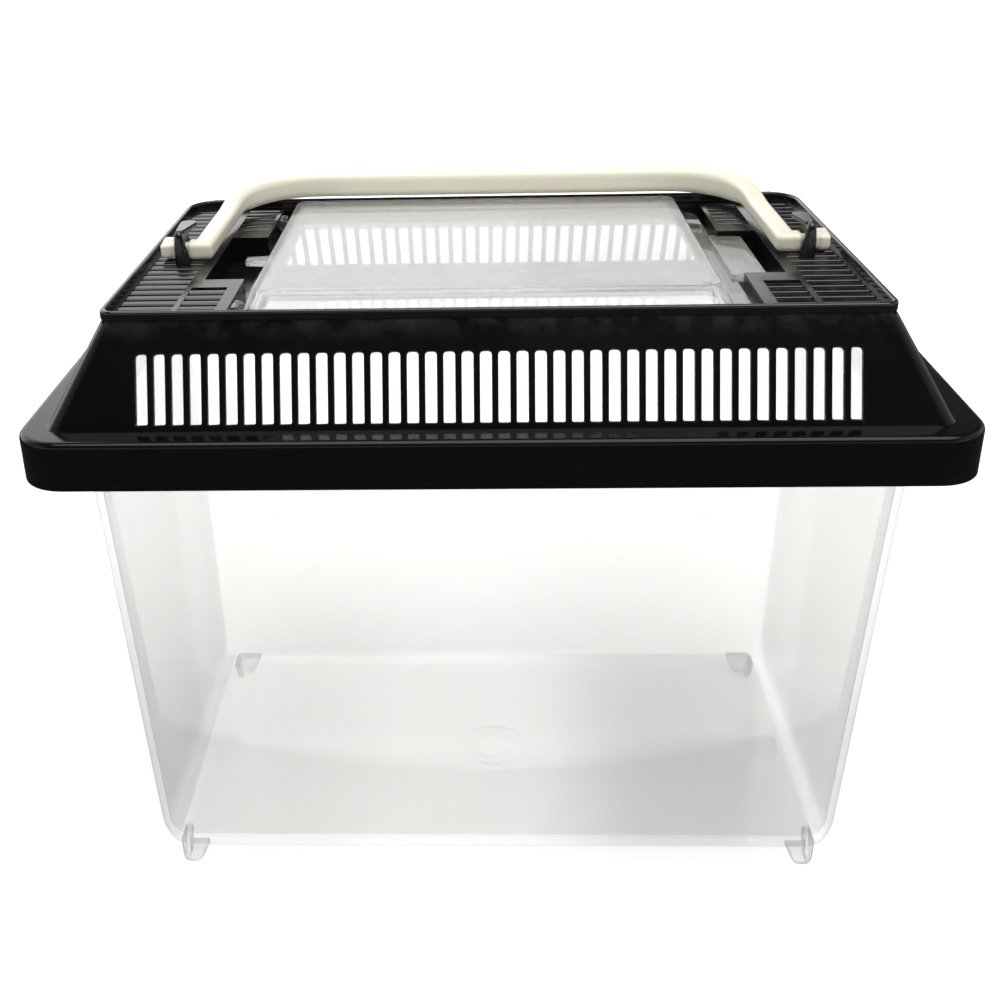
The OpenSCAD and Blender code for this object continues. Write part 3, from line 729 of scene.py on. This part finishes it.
# ------------------------------------------------------------------- hatch
def hatch():
    k = dict(nc=8, xs=[-54 + 12 * i for i in range(10)], ny=6)
    T = 178.7
    out = [  # x0 x1 y0 y1 r z, from the middle of the raised face outwards
        (-56.0, 52.0, -44.0, 45.5, 2.0, T), (-60.1, 56.1, -47.6, 49.1, 3.0, T), (-60.55, 56.55, -48.15, 49.6, 3.3, T - 0.1),
        (-60.85, 56.85, -48.6, 50.0, 3.5, T - 0.38), (-61.1, 57.1, -49.1, 50.3, 3.6, T - 0.8),
        (-63.1, 59.1, -53.7, 54.1, 4.2, 173.1), (-63.25, 59.35, -54.05, 54.45, 4.3, 172.65), (-63.35, 59.75, -54.3, 54.7, 4.4, 172.45),
        (-63.4, 60.4, -54.55, 54.85, 4.4, 172.4), (-63.42, 64.5, -55.1, 55.1, (6.5, 6.5, 1.0, 1.0), 172.4), (-63.46, 64.8, -55.3, 55.3, (6.8, 6.8, 1.0, 1.0), 172.3),
        (-63.5, 65.0, -55.4, 55.4, (7.0, 7.0, 1.0, 1.0), 172.0), (-63.5, 65.0, -55.4, 55.4, (7.0, 7.0, 1.0, 1.0), 171.1),
        (-63.4, 64.85, -55.3, 55.3, (6.8, 6.8, 1.0, 1.0), 170.9), (-63.2, 64.6, -55.1, 55.1, (6.6, 6.6, 1.0, 1.0), 170.8),
    ]
    inn = [
        (-61.8, 57.8, -52.6, 52.6, 3.0, 170.8), (-61.5, 57.5, -52.2, 52.2, 3.0, 170.9), (-61.3, 57.3, -51.9, 51.9, 3.0, 171.2),
        (-59.3, 55.3, -47.6, 48.2, 2.2, 176.4), (-59.1, 55.1, -47.2, 47.9, 2.0, 176.8), (-58.7, 54.7, -46.8, 47.5, 1.8, 177.0), (-55.0, 51.0, -43.0, 44.0, 1.5, 177.0),
    ]
    v, fs = loft([rr(*q, **k) for q in out + inn], cap0=True, cap1=True)
    ob = make("hatch_window", v, fs, HATCH, "hatch", sharp=40)
    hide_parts("hatch")
    # finger tab
    tab = rounded_poly([(64.2, -21.0), (74.0, -21.0), (74.0, 20.0), (64.2, 20.0)], [0.3, 1.8, 1.8, 0.3])
    v, fs = prism(tab, "z", 171.5, 173.4)
    make("hatch_finger_tab", v, fs, HATCH, "hatch", bevel=0.45, segments=3, sharp=50, angle=50)
    stop = rounded_poly([(-63.0, -0.5), (-63.0, 4.7), (-70.4, 4.7), (-70.4, -0.5)], [0.2, 0.2, 1.0, 1.0])
    v, fs = prism(stop, "z", 171.6, 173.1)
    make("hatch_stop_tab", v, fs, HATCH, "hatch", bevel=0.35, segments=3, sharp=50, angle=50)
    parts = []
    for y0, y1, p0, p1 in ((-44.7, -42.4, -48.8, -42.4), (40.4, 42.7, 40.4, 46.8)):
        sec = [(HX + 1.5 * math.cos(math.radians(a)), HZ + 1.5 * math.sin(math.radians(a))) for a in range(60, 241, 15)]
        sec += [(HX + 0.2, 171.0), (HX + 2.4, 171.0), (HX + 2.4, HZ + 0.2)]
        parts.append(prism(sec, "y", y0, y1))
        pin = [(HX + 0.85 * math.cos(math.radians(a)), HZ + 0.85 * math.sin(math.radians(a))) for a in range(0, 360, 15)]
        parts.append(prism(pin, "y", p0, p1))
    v, fs = merge(parts)
    make("hatch_hinge_pins", v, fs, HATCH, "hatch", bevel=0.2, segments=2, sharp=50, angle=50)


def rounded_poly(pts, radii, n=6):
    """Corners of a polygon rounded to the given radii."""
    out = []
    c = len(pts)
    for i in range(c):
        p0, p, p1 = (Vector((*pts[(i + d) % c], 0)) for d in (-1, 0, 1))
        rad = radii[i]
        a, b = (p0 - p).normalized(), (p1 - p).normalized()
        half = a.angle(b) / 2
        d = rad / math.tan(half)
        cen = p + (a + b).normalized() * (rad / math.sin(half))
        s, e = p + a * d - cen, p + b * d - cen
        for j in range(n + 1):
            w = s.slerp(e, j / n) if s.angle(e) > 1e-4 else s
            out.append(((cen + w).x, (cen + w).y))
    return out


# ------------------------------------------------------------------ handle
PY, PZ, TILT = -1.8, 177.4, 3.0


def spline(pts, t):
    """Catmull-Rom through points."""
    n = len(pts) - 1
    s = min(max(t * n, 0), n - 1e-9)
    i = int(s)
    w = s - i
    p = [pts[max(0, min(n, i + d))] for d in (-1, 0, 1, 2)]
    return tuple(
        0.5 * ((2 * b) + (c - a) * w + (2 * a - 5 * b + 4 * c - d) * w**2 + (-a + 3 * b - 3 * c + d) * w**3)
        for a, b, c, d in zip(*p)
    )


def handle():
    # inner and outer outline of the right half in the bail's own plane, from the pivot end to the middle
    hw_i, hw_o, reach_i, reach_o, ri, ro, a = 78.4, 84.1, 59.6, 67.2, 22.0, 27.0, math.radians(2.6)

    def half(hw, reach, rad, n_arm, n_arc, n_bar, y_start):
        yc = reach - rad
        xc = hw - math.tan(a) * yc - rad / math.cos(a)
        pts = []
        y_end = yc + rad * math.sin(a)
        for i in range(n_arm):
            y = y_start + (y_end - y_start) * i / n_arm
            pts.append((hw - math.tan(a) * y, y))
        for i in range(n_arc):
            t = a + (math.pi / 2 - a) * i / n_arc
            pts.append((xc + rad * math.cos(t), yc + rad * math.sin(t)))
        for i in range(n_bar + 1):
            pts.append((xc * (1 - i / n_bar), reach))
        return pts

    inner = half(hw_i, reach_i, ri, 12, 16, 10, 2.7)
    outer = half(hw_o, reach_o, ro, 12, 16, 10, 2.7)
    inner = inner + [(-x, y) for x, y in reversed(inner[:-1])]
    outer = outer + [(-x, y) for x, y in reversed(outer[:-1])]
    n = len(inner)
    verts, faces = [], []
    for z in (2.3, -2.3):
        for q in (inner, outer):
            verts += [(x, y, z) for x, y in q]
    it, ot, ib, ob_ = 0, n, 2 * n, 3 * n
    for i in range(n - 1):
        faces.append((it + i, it + i + 1, ot + i + 1, ot + i))
        faces.append((ib + i, ob_ + i, ob_ + i + 1, ib + i + 1))
        faces.append((it + i, ib + i, ib + i + 1, it + i + 1))
        faces.append((ot + i, ot + i + 1, ob_ + i + 1, ob_ + i))
    # end blocks, reaching the lugs
    for s, e in ((1, 0), (-1, n - 1)):
        base = len(verts)
        pl = [(78.5, -2.7), (85.9, -2.7), (85.9, 2.7)]
        for z in (2.3, -2.3):
            verts += [(s * x, y, z) for x, y in pl]
        t, b = base, base + 3
        top = (it + e, ot + e, t + 2, t + 1, t)
        bot = (ib + e, ob_ + e, b + 2, b + 1, b)
        faces.append(top)
        faces.append(bot)
        faces.append((it + e, t, b, ib + e))
        faces.append((t, t + 1, b + 1, b))
        faces.append((t + 1, t + 2, b + 2, b + 1))
        faces.append((t + 2, ot + e, ob_ + e, b + 2))
    bm = bmesh.new()
    vs = [bm.verts.new(p) for p in verts]
    for q in faces:
        bm.faces.new([vs[i] for i in q])
    bmesh.ops.recalc_face_normals(bm, faces=bm.faces)
    bm.edges.ensure_lookup_table()
    sharp = [e for e in bm.edges if len(e.link_faces) == 2 and e.is_convex and e.calc_face_angle(0) > math.radians(40)]
    bmesh.ops.bevel(bm, geom=sharp, offset=1.45, segments=5, profile=0.5, affect="EDGES", clamp_overlap=False)

    def up(y):
        t = min(max((y - 30) / 24.0, 0), 1)
        return 2.0 * t * t * (3 - 2 * t)

    def down(y):
        t = min(max((y - 44) / 5.0, 0), 1)
        e = min(max((11 - y) / 7.0, 0), 1)
        return -0.45 * t * t * (3 - 2 * t) - 0.38 * e * e * (3 - 2 * e)

    ct, st = math.cos(math.radians(TILT)), math.sin(math.radians(TILT))

    def place(p):
        return (p[0], PY + p[1] * ct - p[2] * st, PZ + p[1] * st + p[2] * ct)

    for v in bm.verts:
        w = (v.co.z + 2.3) / 4.6
        v.co.z += up(v.co.y) * w + down(v.co.y) * (1 - w)
        v.co = Vector(place(v.co))
    vl = [tuple(v.co) for v in bm.verts]
    bm.verts.index_update()
    fl = [tuple(v.index for v in f_.verts) for f_ in bm.faces]
    bm.free()
    ob = make("handle_bail", vl, fl, IVORY, "handle", sharp=60)
    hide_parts("handle")
    # outer ends beyond the lugs, and the necks in the lug eyes
    sec = rounded_poly([(-2.7, -2.68), (5.3, -2.68), (5.3, 2.3), (-2.7, 2.3)], [1.45, 1.2, 1.2, 1.45], 5)
    end = prism(sec, "x", 90.0, 93.2)
    sec2 = rounded_poly([(-2.6, -2.3), (2.6, -2.3), (2.6, 2.3), (-2.6, 2.3)], [1.3] * 4, 5)
    collar = prism(sec2, "x", 89.0, 90.2)
    parts = []
    for part in (end, collar):
        part = ([place(p) for p in part[0]], part[1])
        parts += [part, flip_x(part)]
    v, fs = merge(parts)
    make("handle_ends", v, fs, IVORY, "handle", bevel=0.8, segments=4, sharp=60, angle=60)
    neck = [(1.9 * math.cos(math.radians(t)), 1.9 * math.sin(math.radians(t))) for t in range(0, 360, 15)]
    part = prism(neck, "x", 85.0, 91.0)
    part = ([place(p) for p in part[0]], part[1])
    v, fs = merge([part, flip_x(part)])
    make("handle_necks", v, fs, IVORY, "handle", sharp=40)


tank()
lid_skirt()
lid_walls()
lid_rim()
lid_top()
lid_slats()
lid_lugs()
lid_knuckles()
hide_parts("lid")
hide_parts("lid_panel", "well_left", "well_right")
hatch()
handle()

# ------------------------------------------------------------ floor, light
me = bpy.data.meshes.new("floor")
S = 9.0
me.from_pydata([(-S, -S, -0.00002), (S, -S, -0.00002), (S, S, -0.00002), (-S, S, -0.00002)], [], [(0, 1, 2, 3)])
floor = bpy.data.objects.new("floor", me)
scene.collection.objects.link(floor)
fm = Mat("floor_white")
d = fm.n("ShaderNodeBsdfDiffuse")
pale = fm.mix(fm.noise(3.0, 2.0), (0.90, 0.90, 0.898), (0.915, 0.915, 0.913))
rays = fm.n("ShaderNodeLightPath").outputs
# Painted shade in reflections: the floor's colour drops to near black for glossy rays only, so the lid and clear
# plastics reflect a dark floor though it is lit white.
painted_reflection_shade = fm.math("MAXIMUM", fm.math("SUBTRACT", rays["Is Glossy Ray"], rays["Is Transmission Ray"]), 0.0)
fm.link(fm.mix(painted_reflection_shade, pale, (0.04, 0.04, 0.04)), d.inputs["Color"])
fm.link(d.outputs["BSDF"], fm.out.inputs["Surface"])
me.materials.append(fm.m)

world = bpy.data.worlds.new("studio")
scene.world = world
world.use_nodes = True
wt = world.node_tree
wt.nodes.clear()
wo = wt.nodes.new("ShaderNodeOutputWorld")
bg = wt.nodes.new("ShaderNodeBackground")
wt.links.new(bg.outputs["Background"], wo.inputs["Surface"])
tc = wt.nodes.new("ShaderNodeTexCoord")
sep = wt.nodes.new("ShaderNodeSeparateXYZ")
wt.links.new(tc.outputs["Generated"], sep.inputs["Vector"])


def wmath(op, a_, b_):
    nd = wt.nodes.new("ShaderNodeMath")
    nd.operation = op
    for i, v_ in enumerate((a_, b_)):
        if isinstance(v_, (int, float)):
            nd.inputs[i].default_value = v_
        else:
            wt.links.new(v_, nd.inputs[i])
    return nd.outputs["Value"]


def wramp(v_, lo, hi, a_, b_):
    nd = wt.nodes.new("ShaderNodeMapRange")
    nd.interpolation_type = "SMOOTHSTEP"
    for nm, val in (("From Min", lo), ("From Max", hi), ("To Min", a_), ("To Max", b_)):
        nd.inputs[nm].default_value = val
    wt.links.new(v_, nd.inputs["Value"])
    return nd.outputs["Result"]


X, Y, Z = sep.outputs["X"], sep.outputs["Y"], sep.outputs["Z"]
back = wramp(Y, 0.10, 0.45, 0.0, 1.0)
low = wramp(Z, 0.30, 0.38, 1.0, 0.0)
left = wramp(X, 0.02, 0.12, 1.0, 0.0)
band = wmath("MULTIPLY", wmath("MULTIPLY", back, low), wramp(X, 0.19, 0.27, 1.6, 0.12))
softbox = wmath("MULTIPLY", wmath("MULTIPLY", back, wmath("MULTIPLY", left, wramp(Z, 0.70, 0.85, 1.0, 0.0))), 1.8)
overhead = wmath("ADD", wmath("MULTIPLY", Z, 0.97), wmath("ADD", wmath("MULTIPLY", Y, -0.23), wmath("MULTIPLY", X, 0.10)))
top = wramp(overhead, 0.83, 0.93, 0.0, 4.9)
side = wmath("MULTIPLY", wramp(wmath("ABSOLUTE", X, 0.0), 0.55, 0.85, 0.0, 1.0), 0.7)
front = wmath("MULTIPLY", wmath("MULTIPLY", wramp(Y, -0.45, -0.2, 1.0, 0.0), wramp(Z, 0.22, 0.30, 1.0, 0.0)), 1.0)
level = wmath("ADD", wmath("ADD", wmath("MAXIMUM", wmath("MAXIMUM", band, front), softbox), wmath("MAXIMUM", top, side)), 0.04)
wt.links.new(level, bg.inputs["Strength"])
bg.inputs["Color"].default_value = (1.0, 1.0, 0.99, 1.0)

scene.view_settings.view_transform = "Standard"
